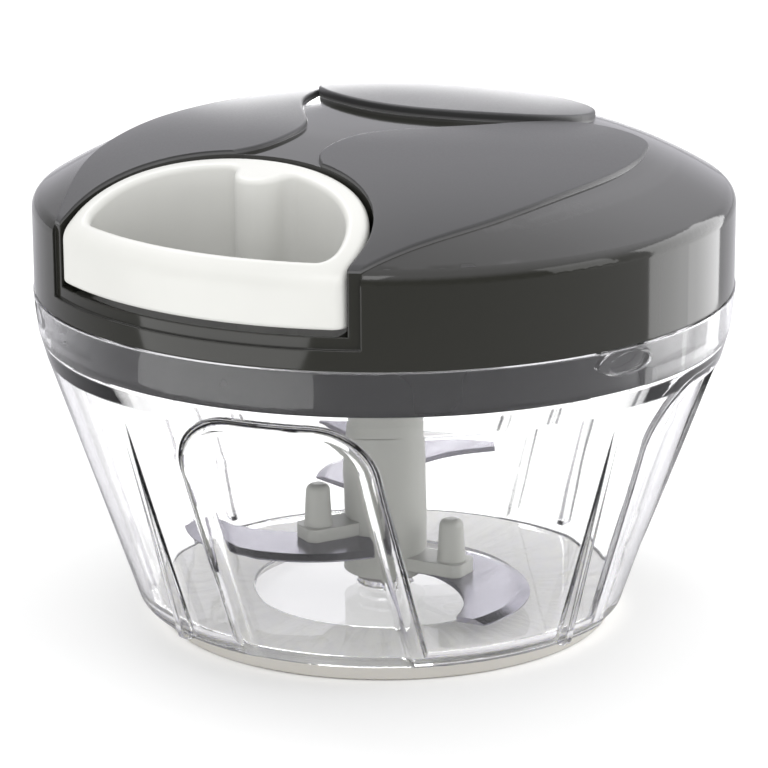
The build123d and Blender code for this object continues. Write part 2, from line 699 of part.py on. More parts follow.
def cross_recess(height):
    """Cross-shaped hollow for a screwdriver, cut upwards from a height."""
    length = DRIVE_RECESS_RADIUS + DRIVE_RECESS_RADIUS
    cross = Rectangle(length, DRIVE_ARM_THICKNESS) + Rectangle(DRIVE_ARM_THICKNESS, length)
    return Pos(0, 0, height) * extrude(cross, DRIVE_RECESS_DEPTH)


def upward_screw(radius, length, head_radius, head, head_top):
    """A screw that points up, with its head below a height."""
    body = pipe(0, head_radius, head_top - head, head_top)
    body = chamfer(body.edges().group_by(Axis.Z)[0], head / 2)
    body += pipe(0, radius, head_top, head_top + length)
    return body - cross_recess(head_top - head)


def cover_screws():
    screw = upward_screw(
        COVER_SCREW_RADIUS, COVER_SCREW_LENGTH, COVER_SCREW_HEAD_RADIUS, COVER_SCREW_HEAD, COVER_PLATE_BOTTOM)
    return Part() + [Pos(*polar(COVER_SCREW_CIRCLE, bearing)) * screw for bearing in COVER_SCREW_BEARINGS]


# Grip, cord and eyelet

def grip_envelope():
    """The lid's outer form where the grip is: an upright face that bends over into the dome."""
    dome = dome_curve()
    back = dome @ GRIP_CROWN_SHARE
    face_top = (GRIP_FACE_RADIUS, GRIP_FACE_TOP)
    crown = Spline(back, (GRIP_TOP_RADIUS, GRIP_TOP), face_top, tangents=(dome % GRIP_CROWN_SHARE, (0, -1)))
    lines = Polyline(face_top, (GRIP_FACE_RADIUS, GRIP_BOTTOM), (0, GRIP_BOTTOM), (0, back.Y), back)
    return turned(Sketch() + make_face(crown + lines))


def grip_hole():
    """The finger hole: a round boss for the cord stands out of its back wall."""
    front = GRIP_FACE_RADIUS - GRIP_WALL
    oval = Ellipse(GRIP_HALF_WIDTH - GRIP_WALL, GRIP_BACK_DEPTH - GRIP_WALL)
    block = Pos(0, 0, GRIP_BOTTOM - OVERRUN) * extrude((Pos(0, -GRIP_MIDDLE) * oval) & Circle(front), APEX)
    block = fillet(upright_edges(block, 0, front), GRIP_HOLE_CORNER)
    block -= Pos(0, -BOSS_MIDDLE, -OVERRUN) * extrude(Circle(BOSS_RADIUS), APEX + APEX)
    return fillet(upright_edges(block, BOSS_MIDDLE, BOSS_RADIUS), BOSS_BLEND)


def upright_edges(body, setback, radius):
    """Upright edges at one distance from an upright axis that stands forward of the lid's."""
    found = []
    for edge in body.edges():
        foot, head = edge @ 0, edge @ 1
        same_place = hypot(foot.X - head.X, foot.Y - head.Y) < MATCH
        if same_place and abs(hypot(foot.X, foot.Y + setback) - radius) < MATCH:
            found.append(edge)
    return found


def pull_handle():
    plan = grip_plan(0) & Circle(GRIP_FACE_RADIUS)
    corners = [v for v in plan.vertices() if abs(hypot(v.X, v.Y) - GRIP_FACE_RADIUS) < CORD_BORE_CLEARANCE]
    plan = fillet(corners, GRIP_CORNER)
    body = grip_envelope() & (Pos(0, 0, GRIP_BOTTOM) * extrude(plan, APEX))
    body -= grip_hole()
    upper_face = body.faces().sort_by(Axis.Z)[-1]
    body = fillet(upper_face.edges(), GRIP_LIP_ROUND)
    underside = body.faces().sort_by(Axis.Z)[0]
    body = fillet(underside.edges(), GRIP_EDGE_ROUND)
    back = GRIP_MIDDLE - GRIP_BACK_DEPTH - OVERRUN
    axis = Plane(origin=(0, -back, CORD_HEIGHT), z_dir=(0, -1, 0))
    body -= extrude(axis * Circle(CORD_DIAMETER / 2 + CORD_BORE_CLEARANCE), BOSS_MIDDLE - back)
    pocket = pipe(0, stop_pocket_radius(), GRIP_BOTTOM - OVERRUN, CORD_HEIGHT + STOP_RADIUS + OVERRUN)
    return body - Pos(0, -BOSS_MIDDLE) * pocket


def stop_pocket_radius():
    """The pocket just takes the ferrule lying across it."""
    return hypot(STOP_LENGTH / 2, STOP_RADIUS) + STOP_POCKET_CLEARANCE


def cord_stop():
    """Crimped ferrule on the end of the cord, in the pocket of the boss."""
    plane = Plane(origin=(0, -BOSS_MIDDLE, CORD_HEIGHT), z_dir=(0, -1, 0))
    return extrude(plane * Circle(STOP_RADIUS), STOP_LENGTH / 2, both=True)


def guide_face():
    """Distance of the recess's back wall from the lid's axis."""
    return GRIP_MIDDLE - GRIP_BACK_DEPTH - GRIP_GAP


def cord_guide():
    """Flanged eyelet through the back wall of the recess."""
    near = guide_face() - RECESS_WALL - GUIDE_FLANGE_THICKNESS
    length = RECESS_WALL + GUIDE_FLANGE_THICKNESS + GUIDE_FLANGE_THICKNESS
    bore = CORD_DIAMETER / 2 + CORD_BORE_CLEARANCE
    inner_flange = Plane(origin=(0, -near, CORD_HEIGHT), z_dir=(0, -1, 0))
    outer_flange = Plane(origin=(0, -guide_face(), CORD_HEIGHT), z_dir=(0, -1, 0))
    body = extrude(inner_flange * Circle(GUIDE_BODY_RADIUS), length)
    body += extrude(inner_flange * Circle(GUIDE_FLANGE_RADIUS), GUIDE_FLANGE_THICKNESS)
    body += extrude(outer_flange * Circle(GUIDE_FLANGE_RADIUS), GUIDE_FLANGE_THICKNESS)
    body -= extrude(inner_flange * Circle(bore), length)
    funnel_depth = GUIDE_FLANGE_THICKNESS + RECESS_WALL / 2
    funnel_angle = degrees(atan2(GUIDE_FUNNEL_RADIUS - bore, funnel_depth))
    return body - extrude(inner_flange * Circle(GUIDE_FUNNEL_RADIUS), funnel_depth, taper=funnel_angle)


def winding_radius():
    return DRUM_RADIUS + WINDING_GAP + CORD_DIAMETER / 2


def leave_bearing():
    """Bearing at which the cord leaves the drum, so that it runs straight to the eyelet."""
    eyelet_middle = guide_face() - RECESS_WALL / 2
    return -degrees(atan2(sqrt(eyelet_middle ** 2 - winding_radius() ** 2), winding_radius()))


def pull_cord():
    """The straight stretch from the drum through the eyelet to the ferrule."""
    leave = Vector(*polar(winding_radius(), leave_bearing(), CORD_HEIGHT))
    middle = Vector(0, -guide_face() + RECESS_WALL / 2, CORD_HEIGHT)
    start = leave + (middle - leave).normalized() * CORD_GAP
    end = Vector(0, -BOSS_MIDDLE + STOP_LENGTH / 2, CORD_HEIGHT)
    bend = FilletPolyline(start, middle, end, radius=CORD_DIAMETER * CORD_BEND_DIAMETERS)
    print("cord bend radius", CORD_DIAMETER * CORD_BEND_DIAMETERS, "free stretch", round(bend.length, 1))
    section = Plane(origin=start, z_dir=middle - start) * Circle(CORD_DIAMETER / 2)
    return sweep(section, bend)


def cord_winding():
    """The turns on the drum, hidden in the lid, as one plain band under the cord that leaves them."""
    length = CORD_TURNS * 360 * radians(winding_radius())
    print("cord on the drum, radius", round(winding_radius(), 2), "length", round(length, 1))
    top = CORD_HEIGHT - CORD_DIAMETER / 2
    inner = DRUM_RADIUS + WINDING_GAP
    return pipe(inner, inner + CORD_DIAMETER, top - CORD_TURNS * TURN_PITCH, top - WINDING_GAP)


# Reel and spring

def spring_slot(inner, outer):
    """Narrow slot that takes a tab of the spring, along +X."""
    width = SPRING_STRIP + SPRING_SLOT_CLEARANCE + SPRING_SLOT_CLEARANCE
    length = outer - inner
    block = Box(length, width, SPRING_WIDTH + OVERRUN)
    return Pos(inner + length / 2, 0, spring_bottom() + SPRING_WIDTH / 2) * block


def spring_bottom():
    return REEL_BOTTOM + REEL_PLATE + SPRING_END_GAP


def drum_bore():
    return DRUM_RADIUS - DRUM_WALL


def cord_reel():
    shaft_bore = LID_POST_RADIUS + RUNNING_CLEARANCE
    ledge = REEL_TOP - CAP_THICKNESS
    face = outline(
        (shaft_bore, REEL_BOTTOM),
        (REEL_FLANGE_RADIUS, REEL_BOTTOM),
        (REEL_FLANGE_RADIUS, REEL_BOTTOM + REEL_PLATE),
        (DRUM_RADIUS, REEL_BOTTOM + REEL_PLATE),
        (DRUM_RADIUS, REEL_TOP - REEL_TOP_FLANGE),
        (REEL_FLANGE_RADIUS, REEL_TOP - REEL_TOP_FLANGE),
        (REEL_FLANGE_RADIUS, REEL_TOP),
        (drum_bore() + CAP_LEDGE, REEL_TOP),
        (drum_bore() + CAP_LEDGE, ledge),
        (drum_bore(), ledge),
        (drum_bore(), REEL_BOTTOM + REEL_PLATE),
        (shaft_bore, REEL_BOTTOM + REEL_PLATE),
    )
    body = turned(face)
    body -= Rot(0, 0, 180) * spring_slot(drum_bore() - OVERRUN, drum_bore() + SPRING_TAB)
    for place in pawl_places():
        body -= place * pipe(0, PAWL_PIN_RADIUS, REEL_BOTTOM, REEL_BOTTOM + REEL_PLATE)
    return body


def reel_cap():
    ledge = REEL_TOP - CAP_THICKNESS
    outer = drum_bore() + CAP_LEDGE - CAP_CLEARANCE
    body = pipe(LID_POST_RADIUS + RUNNING_CLEARANCE, outer, ledge, REEL_TOP)
    vent_circle = (LID_POST_RADIUS + drum_bore()) / 2
    vent = Pos(0, -vent_circle) * pipe(0, CAP_VENT_RADIUS, ledge, REEL_TOP)
    return body - around(vent, CAP_VENT_COUNT)


def return_spring():
    """Flat strip wound from the post to the drum, in half turns that widen steadily."""
    half = SPRING_STRIP / 2
    first = LID_POST_RADIUS + half + SPRING_SLOT_CLEARANCE
    last = drum_bore() - half - SPRING_SLOT_CLEARANCE
    step = (last - first) / (SPRING_HALF_TURNS - 1)
    strip = Sketch()
    for turn in range(SPRING_HALF_TURNS):
        upper = turn % 2 == 0
        radius = first + step * turn
        ring = Circle(radius + half) - Circle(radius - half)
        wide = last + last + last
        side = Rectangle(wide, wide, align=(Align.CENTER, Align.MIN if upper else Align.MAX))
        strip += Pos(0 if upper else step, 0) * (ring & side)
    tab_length = SPRING_TAB + SPRING_SLOT_CLEARANCE
    strip += Pos(first - tab_length / 2, 0) * Rectangle(tab_length, SPRING_STRIP)
    strip += Pos(-last - tab_length / 2, 0) * Rectangle(tab_length, SPRING_STRIP)
    return Pos(0, 0, spring_bottom()) * extrude(strip, SPRING_WIDTH)


def post_end():
    """Lower end of the lid's post, a little below the reel so that the reel turns freely."""
    return REEL_BOTTOM - REEL_END_PLAY


def reel_washer():
    return pipe(REEL_SCREW_RADIUS + RUNNING_CLEARANCE, WASHER_RADIUS, post_end() - WASHER_THICKNESS, post_end())


def reel_screw():
    return upward_screw(
        REEL_SCREW_RADIUS, REEL_SCREW_LENGTH, REEL_SCREW_HEAD_RADIUS, REEL_SCREW_HEAD,
        post_end() - WASHER_THICKNESS)


# Pawls

def pawl_places():
    """Places of the pawl pivots: one turned half round from the other."""
    places = []
    for step in range(PAWL_COUNT):
        places.append(Pos(*polar(PAWL_PIVOT_RADIUS, 360 * step / PAWL_COUNT)))
    return places


def pawl_tip_radius():
    return RATCHET_ROOT_RADIUS - PAWL_TIP_CLEARANCE


def pawl():
    """Arm from the pivot at bearing zero to a square tip behind a ratchet tooth."""
    pivot = Pos(*polar(PAWL_PIVOT_RADIUS, 0))
    near = pawl_tip_radius() - PAWL_TIP_WIDTH
    plan = outline(
        polar(PAWL_PIVOT_RADIUS + PAWL_EYE_RADIUS, 0)[:2],
        polar(RATCHET_TIP_RADIUS - PAWL_TIP_CLEARANCE, PAWL_SPAN_ANGLE * PAWL_SHOULDER_SHARE)[:2],
        polar(pawl_tip_radius(), PAWL_SPAN_ANGLE)[:2],
        polar(near, PAWL_SPAN_ANGLE)[:2],
        polar(PAWL_PIVOT_RADIUS - PAWL_EYE_RADIUS * PAWL_HEEL_DEPTH_SHARE, PAWL_SPAN_ANGLE * PAWL_HEEL_SHARE)[:2],
    )
    plan += pivot * Circle(PAWL_EYE_RADIUS)
    plan -= pivot * Circle(PAWL_PIN_RADIUS + RUNNING_CLEARANCE)
    return Pos(0, 0, PAWL_BOTTOM) * extrude(plan, PAWL_TOP - PAWL_BOTTOM)


def pawl_pins():
    """Headed pins pressed into the reel, with their heads under the pawls."""
    head_top = PAWL_BOTTOM - REEL_END_PLAY
    pin = pipe(0, PAWL_PIN_RADIUS, head_top, REEL_BOTTOM + REEL_PLATE)
    pin += pipe(0, PAWL_PIN_HEAD_RADIUS, head_top - PAWL_PIN_HEAD, head_top)
    return Part() + [place * pin for place in pawl_places()]


# Drive hub

def face_bearing(radius):
    """Bearing of a steep tooth face at a radius: it keeps one distance from the pawl's pivot."""
    tip = Vector(*polar(pawl_tip_radius(), PAWL_SPAN_ANGLE))
    reach = (tip - Vector(*polar(PAWL_PIVOT_RADIUS, 0))).length + PAWL_TIP_CLEARANCE
    share = (radius ** 2 + PAWL_PIVOT_RADIUS ** 2 - reach ** 2) / (2 * radius * PAWL_PIVOT_RADIUS)
    return degrees(acos(share))


def ratchet_bore():
    """Saw-toothed opening of the ratchet ring: a pawl's tip just passes each steep face."""
    step = 360 / RATCHET_TEETH
    corners = []
    for tooth in range(RATCHET_TEETH):
        turn = tooth * step
        corners.append(polar(RATCHET_ROOT_RADIUS, face_bearing(RATCHET_ROOT_RADIUS) + turn)[:2])
        corners.append(polar(RATCHET_TIP_RADIUS, face_bearing(RATCHET_TIP_RADIUS) + turn)[:2])
        land_end = face_bearing(RATCHET_TIP_RADIUS) + turn + step * RATCHET_LAND_SHARE
        corners.append(polar(RATCHET_TIP_RADIUS, land_end)[:2])
    return outline(*corners)


def hexagon(flats):
    return RegularPolygon(flats / 2, 6, major_radius=False)


def drive_hub():
    plate_top = HUB_PLATE_BOTTOM + HUB_PLATE
    body = pipe(0, HUB_RADIUS, HUB_PLATE_BOTTOM, plate_top)
    ring = Circle(HUB_RADIUS) - ratchet_bore()
    body += Pos(0, 0, plate_top) * extrude(ring, HUB_RING_TOP - plate_top)
    body += pipe(0, STEM_RADIUS, STEM_BOTTOM, HUB_PLATE_BOTTOM)
    groove_top = CLIP_GROOVE_BOTTOM + CLIP_THICKNESS + RUNNING_CLEARANCE
    body -= pipe(STEM_RADIUS - CLIP_GROOVE_DEPTH, STEM_RADIUS + OVERRUN, CLIP_GROOVE_BOTTOM, groove_top)
    socket = extrude(hexagon(SOCKET_FLATS + SOCKET_CLEARANCE + SOCKET_CLEARANCE), SOCKET_TOP - STEM_BOTTOM)
    return body - Pos(0, 0, STEM_BOTTOM) * socket


def hub_clip():
    """Open retaining ring in the groove of the hub's stem."""
    inner = STEM_RADIUS - CLIP_GROOVE_DEPTH
    top = CLIP_GROOVE_BOTTOM + CLIP_THICKNESS
    start = CLIP_OPENING_ANGLE / 2
    return arc_block(inner, CLIP_RADIUS, CLIP_GROOVE_BOTTOM, top, start, 360 - CLIP_OPENING_ANGLE)


# Blade unit

def blade_level(step):
    """Underside of a blade: each stands one step above the one before."""
    return LOW_BLADE_BOTTOM + ARM_STEP * step


def shaft_arm(step):
    """One arm with its peg above and the rivet that holds the blade below."""
    bottom = blade_level(step) + BLADE_THICKNESS
    top = bottom + ARM_THICKNESS
    plan = Pos(0, -ARM_LENGTH / 2) * Rectangle(ARM_WIDTH, ARM_LENGTH)
    ends = plan.vertices().group_by(Axis.Y)[0]
    plan = fillet(ends, ARM_WIDTH / 4)
    body = Pos(0, 0, bottom) * extrude(plan, ARM_THICKNESS)
    place = Pos(0, -PEG_CIRCLE, top)
    peg = place * extrude(Circle(PEG_FOOT_RADIUS), PEG_HEIGHT, taper=peg_taper())
    peg = fillet(peg.edges().group_by(Axis.Z)[-1], PEG_TIP_ROUND)
    rivet = pipe(0, BLADE_RIVET_RADIUS, blade_level(step), bottom)
    return spun(body + peg + Pos(0, -PEG_CIRCLE) * rivet, ARM_BEARINGS[step])


def peg_taper():
    return degrees(atan2(PEG_FOOT_RADIUS - PEG_TIP_RADIUS, PEG_HEIGHT))


def blade_shaft():
    face = outline(
        (0, SHAFT_BOTTOM),
        (SHAFT_FOOT_RADIUS, SHAFT_BOTTOM),
        (SHAFT_COLLAR_RADIUS, SHAFT_COLLAR_HEIGHT),
        (SHAFT_NECK_RADIUS, SHAFT_COLLAR_HEIGHT),
        (SHAFT_NECK_RADIUS, SHAFT_NECK_TOP),
        (0, SHAFT_NECK_TOP),
    )
    body = turned(face)
    for step in range(len(ARM_BEARINGS)):
        body += shaft_arm(step)
    body += Pos(0, 0, SHAFT_NECK_TOP) * extrude(hexagon(SOCKET_FLATS), HEX_TOP - SHAFT_NECK_TOP)
    bore = POST_RADIUS + SHAFT_BORE_CLEARANCE
    return body - pipe(0, bore, SHAFT_BOTTOM, SHAFT_BORE_TOP)


def blade_point(shares):
    """A point of the blade's outline, where the arm runs along -Y."""
    across_share, out_share = shares
    return (BLADE_REACH * across_share, -BLADE_REACH * out_share)


def blade(step):
    """Curved blade, drawn with its arm at bearing zero: the convex edge leads and is ground."""
    root_back = blade_point(ROOT_BACK_SHARES)
    hollow_start = blade_point(HOLLOW_START_SHARES)
    hollow_middle = blade_point(HOLLOW_MIDDLE_SHARES)
    tip_inner = blade_point(TIP_INNER_SHARES)
    tip = blade_point(TIP_SHARES)
    edge_middle = blade_point(EDGE_MIDDLE_SHARES)
    edge_start = blade_point(EDGE_START_SHARES)
    root_front = blade_point(ROOT_FRONT_SHARES)
    cutting_edge = ThreePointArc(tip, edge_middle, edge_start)
    rim = Line(root_back, hollow_start)
    rim += ThreePointArc(hollow_start, hollow_middle, tip_inner)
    rim += Line(tip_inner, tip)
    rim += cutting_edge
    rim += Polyline(edge_start, root_front, root_back)
    plan = Sketch() + make_face(rim)
    plan -= Circle(SHAFT_FOOT_RADIUS + BLADE_ROOT_CLEARANCE)
    plan -= Pos(0, -PEG_CIRCLE) * Circle(BLADE_RIVET_RADIUS + BLADE_RIVET_CLEARANCE)
    body = extrude(plan, BLADE_THICKNESS)
    middle = (edge_middle[0], edge_middle[1], BLADE_THICKNESS)
    ground = body.edges().sort_by_distance(middle)[0]
    body = chamfer(ground, BEVEL_WIDTH, BEVEL_HEIGHT, reference=body.faces().sort_by(Axis.Z)[-1])
    return spun(Pos(0, 0, blade_level(step)) * body, ARM_BEARINGS[step])


def build_all():
    """Every piece under the name that a person would use."""
    right_pawl = pawl()
    return {
        "bowl": bowl(),
        "base_ring": base_ring(),
        "rim_gasket": rim_gasket(),
        "lid_cover": lid_cover(),
        "mechanism_cover": mechanism_cover(),
        "cover_screws": cover_screws(),
        "cord_guide": cord_guide(),
        "pull_handle": pull_handle(),
        "cord_stop": cord_stop(),
        "pull_cord": pull_cord(),
        "cord_winding": cord_winding(),
        "cord_reel": cord_reel(),
        "reel_cap": reel_cap(),
        "return_spring": return_spring(),
        "reel_washer": reel_washer(),
        "reel_screw": reel_screw(),
        "pawl_a": right_pawl,
        "pawl_b": spun(right_pawl, 180),
        "pawl_pins": pawl_pins(),
        "drive_hub": drive_hub(),
        "hub_clip": hub_clip(),
        "blade_shaft": blade_shaft(),
        "blade_low": blade(0),
        "blade_mid": blade(1),
        "blade_top": blade(2),
    }


os.makedirs("parts", exist_ok=True)
for name, piece in build_all().items():
    export_step(piece, f"parts/{name}.step")
    print(name, round(piece.volume), len(piece.solids()))
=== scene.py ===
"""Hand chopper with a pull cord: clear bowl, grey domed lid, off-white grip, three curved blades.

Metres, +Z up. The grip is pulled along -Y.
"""

import math
from collections import namedtuple

import bpy
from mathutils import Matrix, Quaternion, Vector


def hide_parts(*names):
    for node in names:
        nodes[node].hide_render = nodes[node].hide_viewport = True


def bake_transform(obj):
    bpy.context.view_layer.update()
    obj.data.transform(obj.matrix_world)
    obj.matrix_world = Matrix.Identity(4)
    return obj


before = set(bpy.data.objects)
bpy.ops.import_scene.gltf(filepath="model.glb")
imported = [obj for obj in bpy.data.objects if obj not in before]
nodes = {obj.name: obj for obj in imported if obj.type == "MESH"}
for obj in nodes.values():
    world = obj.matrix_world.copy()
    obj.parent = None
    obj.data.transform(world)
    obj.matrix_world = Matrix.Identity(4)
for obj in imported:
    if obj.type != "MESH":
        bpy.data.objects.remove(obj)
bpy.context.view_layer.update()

# Camera of the photograph
TARGET_HEIGHT = 0.045
CAMERA_DISTANCE = 0.700
CAMERA_AZIMUTH = math.radians(34.5)
CAMERA_ELEVATION = math.radians(16.085)
CAMERA_ROLL = math.radians(-0.352)
SENSOR_WIDTH = 0.036
FOCAL_PIXELS = 3727.6
IMAGE_PIXELS = 768
OPTICAL_AXIS_X = 384.98
OPTICAL_AXIS_Y = 375.73
MILLIMETRES = 1000.0

# Lamps, all aimed at the middle of the object, with angles in degrees and lengths in metres
Lamp = namedtuple("Lamp", "name azimuth elevation distance width height watts shape")
LAMPS = (
    Lamp("key_light", 20, 45, 1.3, 0.5, 0.5, 2.0, "RECTANGLE"),
    Lamp("fill_light", 100, 20, 1.4, 0.6, 0.8, 2.5, "RECTANGLE"),
    Lamp("top_light", 255, 55, 1.2, 0.6, 0.6, 3.2, "RECTANGLE"),
    Lamp("back_box", 214, 4, 1.0, 0.24, 0.20, 1.2, "RECTANGLE"),
    Lamp("left_card", 346, -5, 0.22, 0.24, 0.05, 0.05, "ELLIPSE"),
    Lamp("side_box", 140, 4, 0.25, 0.20, 0.30, 0.50, "RECTANGLE"),
)

# Backdrop, and the studio that a gloss sees: light at the back and overhead, dim in front
WHITE = (1.0, 1.0, 1.0)
BACKGROUND_WHITE = 1.0
WORLD_LIGHT = 1.0
STUDIO_BACK = math.radians(184)
BACK_GLOSS = 1.0
FRONT_GLOSS = 0.1
GLOSS_START = -0.2
GLOSS_COLOUR = (0.95, 0.94, 1.0)
OVERHEAD_START = 0.22
OVERHEAD_FULL = 0.80
OVERHEAD_GLOSS = 1.2
PASSES_TO_A_PIECE_INSIDE = 2.5
WALL_GLOSS_SHARE = 0.35

# Floor: its colour to the eye, its greys in a gloss, and its glow
FLOOR_SIZE = 6.0
FLOOR_COLOUR = (0.86, 0.86, 0.86)
FLOOR_ROUGHNESS = 0.9
FLOOR_FRONT = 0.16
FLOOR_BACK = 0.55
FLOOR_FALL = 0.3
FLOOR_GLOW = 0.1
FLOOR_GLOW_UNDER_BOWL = 0.5

# Patterns on the pieces: waves to the metre, layers of detail and stretch along each axis
Pattern = namedtuple("Pattern", "waves detail stretch")
EVEN = (1.0, 1.0, 1.0)
BROAD_CLOUD = Pattern(35.0, 3.0, EVEN)
GRAIN = Pattern(2400.0, 2.0, EVEN)
LID_GRAIN = Pattern(2600.0, 2.0, EVEN)
RING_CLOUD = Pattern(120.0, 3.0, EVEN)
RING_GRAIN = Pattern(1800.0, 2.0, EVEN)
ROLLING_LINES = Pattern(900.0, 4.0, (1.0, 0.04, 1.0))
MOULD_FLOW = Pattern(45.0, 1.0, (1.0, 1.0, 0.4))
DRIFT_SHARES = (0.3, 0.7)

# Surfaces of all pieces. Each colour in this script is linear
PLASTIC_IOR = 1.49
SMOOTH_LIMIT = 0.975
EDGE_SAMPLES = 6

# Moulded pieces: colour, roughness and its drift, depth of the grain and radius of the soft edge
Moulding = namedtuple("Moulding", "name colour rough rough_drift grain_depth edge_round")
SKIRT_SATIN = Moulding("skirt_satin", (0.006, 0.006, 0.006), 0.27, 0.02, 0.000001, 0.0004)
GRIP_SATIN = Moulding("grip_satin", (0.70, 0.70, 0.67), 0.33, 0.03, 0.000003, 0.0006)
SHAFT_SATIN = Moulding("shaft_satin", (0.42, 0.425, 0.395), 0.4, 0.04, 0.000005, 0.0003)
REEL_PLASTIC = Moulding("reel_plastic", (0.66, 0.66, 0.62), 0.45, 0.04, 0.000006, 0.0)
SEAL_RUBBER = Moulding("seal_rubber", (0.42, 0.42, 0.40), 0.6, 0.05, 0.000008, 0.0)
MOULDING_COLOUR_DRIFT = 0.03

# Steel pieces: colour and roughness
Metal = namedtuple("Metal", "name colour rough")
BLADE_STEEL = Metal("blade_steel", (0.40, 0.39, 0.43), 0.2)
SCREW_STEEL = Metal("screw_steel", (0.50, 0.50, 0.51), 0.3)
SPRING_STEEL = Metal("spring_steel", (0.32, 0.33, 0.35), 0.35)
STEEL_COLOUR_DRIFT = 0.06
STEEL_ROUGH_SHARES = (0.8, 1.3)
STEEL_LINE_DEPTH = 0.000004

# Lid: a cubic dome in high gloss, and the satin leaves that stand on it, with a painted highlight in a
# lighter grey on the step at each leaf's edge
LID_RADIUS = 0.065
LID_APEX = 0.0946
DOME_RISE = 0.0136
DOME_POWER = 3.0
LEAF_STEP = 0.00045
LEAF_EDGE_SHARES = (0.1, 0.3)
LEAF_FACE_SHARES = (0.9, 1.5)
LID_GREY = (0.024, 0.024, 0.020)
LEAF_GREY = (0.038, 0.038, 0.038)
# Painted highlight on the step at each leaf's edge
LEAF_EDGE_PAINTED_HIGHLIGHT = (0.11, 0.11, 0.11)
LID_ROUGHNESS = (0.05, 0.09)
LEAF_ROUGHNESS = (0.36, 0.46)
LID_GRAIN_DEPTH = 0.0000012
LID_EDGE_ROUND = 0.0004

# Clear bowl: the waviness of its walls, and its tint in shadows and under soft light
BOWL_FLOW_DEPTH = 0.00006
BOWL_EDGE_ROUND = 0.0006
BOWL_TINT = (0.985, 0.985, 0.985)

# Non-slip ring: its top face is painted paler than its side, as painted light from above
RING_TOP_PAINTED_LIGHT = (0.92, 0.915, 0.90)
RING_SIDE = (0.62, 0.60, 0.56)
RING_SIDE_TO_TOP_SHARES = (0.1, 0.9)
RING_CLOUD_SHARE = 0.2
RING_MILKINESS = 0.3
RING_LIGHT_REACH = (0.003, 0.003, 0.002)
RING_ROUGHNESS = 0.45
RING_GRAIN_DEPTH = 0.00001

# Braid of the cord
CORD_WHITE = (0.72, 0.72, 0.69)
BRAID_WAVES = 700.0
BRAID_DISTORTION = 2.0
BRAID_COLOUR_DRIFT = 0.18
BRAID_DEPTH = 0.0001
BRAID_ROUGHNESS = 0.8
BRAID_SHEEN = 0.2

# Route of the cord, from the drum through the eyelet to the grip
CORD_RADIUS = 0.001
CORD_HEIGHT = 0.0818
DRUM_LEAVE = (-0.01466, -0.01107)
EYELET_Y = -0.0313
EYELET_FACE_Y = -0.0328
FERRULE_Y = -0.0358
CORD_SIDE_STEPS = 4
CORD_LENGTH_STEPS = 32
CORD_CURVE_ORDER = 3


def offset_from_object(azimuth, elevation, distance):
    """Azimuth runs from the front of the object, on -Y, toward +X."""
    level = math.cos(elevation)
    return Vector((math.sin(azimuth) * level, -math.cos(azimuth) * level, math.sin(elevation))) * distance


def add_aimed(name, data, offset, roll=0.0):
    """Puts a camera or lamp at its offset from the middle of the object, and aims it there."""
    thing = bpy.data.objects.new(name, data)
    bpy.context.scene.collection.objects.link(thing)
    thing.location = Vector((0, 0, TARGET_HEIGHT)) + offset
    thing.rotation_mode = "QUATERNION"
    thing.rotation_quaternion = (-offset).to_track_quat("-Z", "Y") @ Quaternion((0, 0, 1), roll)
    return thing


def add_camera():
    data = bpy.data.cameras.new("photo_camera")
    data.sensor_width = SENSOR_WIDTH * MILLIMETRES
    data.lens = FOCAL_PIXELS / IMAGE_PIXELS * data.sensor_width
    data.shift_x = (IMAGE_PIXELS / 2 - OPTICAL_AXIS_X) / IMAGE_PIXELS
    data.shift_y = (OPTICAL_AXIS_Y - IMAGE_PIXELS / 2) / IMAGE_PIXELS
    offset = offset_from_object(CAMERA_AZIMUTH, CAMERA_ELEVATION, CAMERA_DISTANCE)
    bpy.context.scene.camera = add_aimed("photo_camera", data, offset, CAMERA_ROLL)


def add_lamps():
    for lamp in LAMPS:
        data = bpy.data.lights.new(lamp.name, "AREA")
        data.shape = lamp.shape
        data.size = lamp.width
        data.size_y = lamp.height
        data.energy = lamp.watts
        azimuth = math.radians(lamp.azimuth)
        elevation = math.radians(lamp.elevation)
        add_aimed(lamp.name, data, offset_from_object(azimuth, elevation, lamp.distance))


# Steps of a material

def new_material(name):
    material = bpy.data.materials.new(name)
    material.use_nodes = True
    tree = material.node_tree
    return material, tree, tree.nodes["Principled BSDF"]


def opaque(colour):
    return (*colour, 1)


def feed(tree, socket, value):
    """Links a socket to what feeds it, or sets it where the value is the same all over."""
    if isinstance(value, bpy.types.NodeSocket):
        tree.links.new(value, socket)
    else:
        socket.default_value = value


def feed_all(tree, step, values):
    """Feeds a step's sockets by their names."""
    for name, value in values.items():
        feed(tree, step.inputs[name], value)


def coordinates(tree, kind):
    return tree.nodes.new("ShaderNodeTexCoord").outputs[kind]


def ray(tree, kind):
    """What is known of the ray that meets the surface."""
    return tree.nodes.new("ShaderNodeLightPath").outputs[kind]


def height_of(tree, place):
    axes = tree.nodes.new("ShaderNodeSeparateXYZ")
    tree.links.new(place, axes.inputs[0])
    return axes.outputs["Z"]


def calculate(tree, operation, *values, clamp=False):
    step = tree.nodes.new("ShaderNodeMath")
    step.operation = operation
    step.use_clamp = clamp
    for socket, value in zip(step.inputs, values):
        feed(tree, socket, value)
    return step.outputs[0]


def calculate_vector(tree, operation, result, *values):
    step = tree.nodes.new("ShaderNodeVectorMath")
    step.operation = operation
    for socket, value in zip(step.inputs, values):
        feed(tree, socket, value)
    return step.outputs[result]


def mix(tree, factor, first, second, kind="FLOAT"):
    """The first value where the factor is nought, the second where it is one."""
    step = tree.nodes.new("ShaderNodeMix")
    step.data_type = kind
    for name, value in (("Factor", factor), ("A", first), ("B", second)):
        feed(tree, step.inputs[name], value)
    return step.outputs["Result"]


